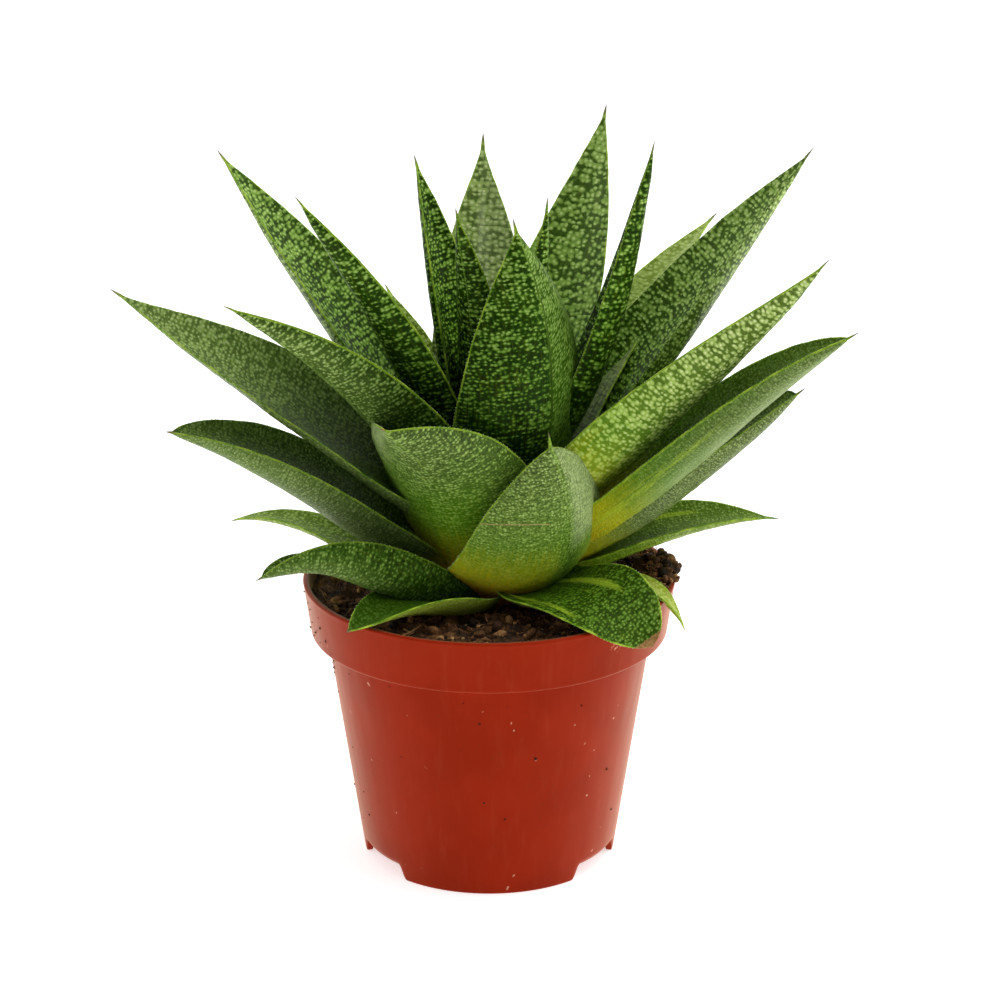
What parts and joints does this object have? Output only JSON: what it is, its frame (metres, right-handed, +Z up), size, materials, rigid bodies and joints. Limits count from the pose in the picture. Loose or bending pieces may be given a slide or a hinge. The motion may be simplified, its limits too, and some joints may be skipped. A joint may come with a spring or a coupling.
{
  "type": "gasteria in a nursery pot",
  "caption": "Gasteria with a loose rosette of keeled, pointed, pale-spotted leaves on a short stem, in soil in a round plastic nursery pot with a collared rim.",
  "frame": {"origin": "on the ground, under the middle of the pot's foot", "axes": "+Z up along the pot's axis; -Y is the front of the plant, the side with the short leaf arching over the rim; +X is the plant's right-hand side seen from the front"},
  "size_m": [0.234, 0.12, 0.24],
  "materials": {
    "pot_plastic": "semi-gloss brick-red polypropylene with fine scuffs and specks of soil",
    "peat": "crumbly dark peat with fibres and grit, matt",
    "stem_skin": "dull yellow-green stem with leaf scars",
    "leaf_skin": "waxy dark green with dense pale raised spots in cross bands, a pale toothed margin and an orange-brown foot"
  },
  "bodies": {
    "root": {"pot": "pot_plastic", "soil": "peat", "stem": "stem_skin", "leaf_01": "leaf_skin", "leaf_02": "leaf_skin", "leaf_03": "leaf_skin", "leaf_04": "leaf_skin", "leaf_05": "leaf_skin", "leaf_06": "leaf_skin", "leaf_07": "leaf_skin", "leaf_08": "leaf_skin", "leaf_09": "leaf_skin", "leaf_10": "leaf_skin", "leaf_11": "leaf_skin", "leaf_12": "leaf_skin", "leaf_13": "leaf_skin", "leaf_14": "leaf_skin", "leaf_15": "leaf_skin", "leaf_16": "leaf_skin", "leaf_17": "leaf_skin", "leaf_18": "leaf_skin", "leaf_19": "leaf_skin", "leaf_20": "leaf_skin", "leaf_21": "leaf_skin", "leaf_22": "leaf_skin", "leaf_23": "leaf_skin", "leaf_24": "leaf_skin", "leaf_25": "leaf_skin", "leaf_26": "leaf_skin", "leaf_27": "leaf_skin", "leaf_28": "leaf_skin", "leaf_29": "leaf_skin", "leaf_30": "leaf_skin", "leaf_31": "leaf_skin", "leaf_32": "leaf_skin", "leaf_33": "leaf_skin"}
  },
  "joints": []
}
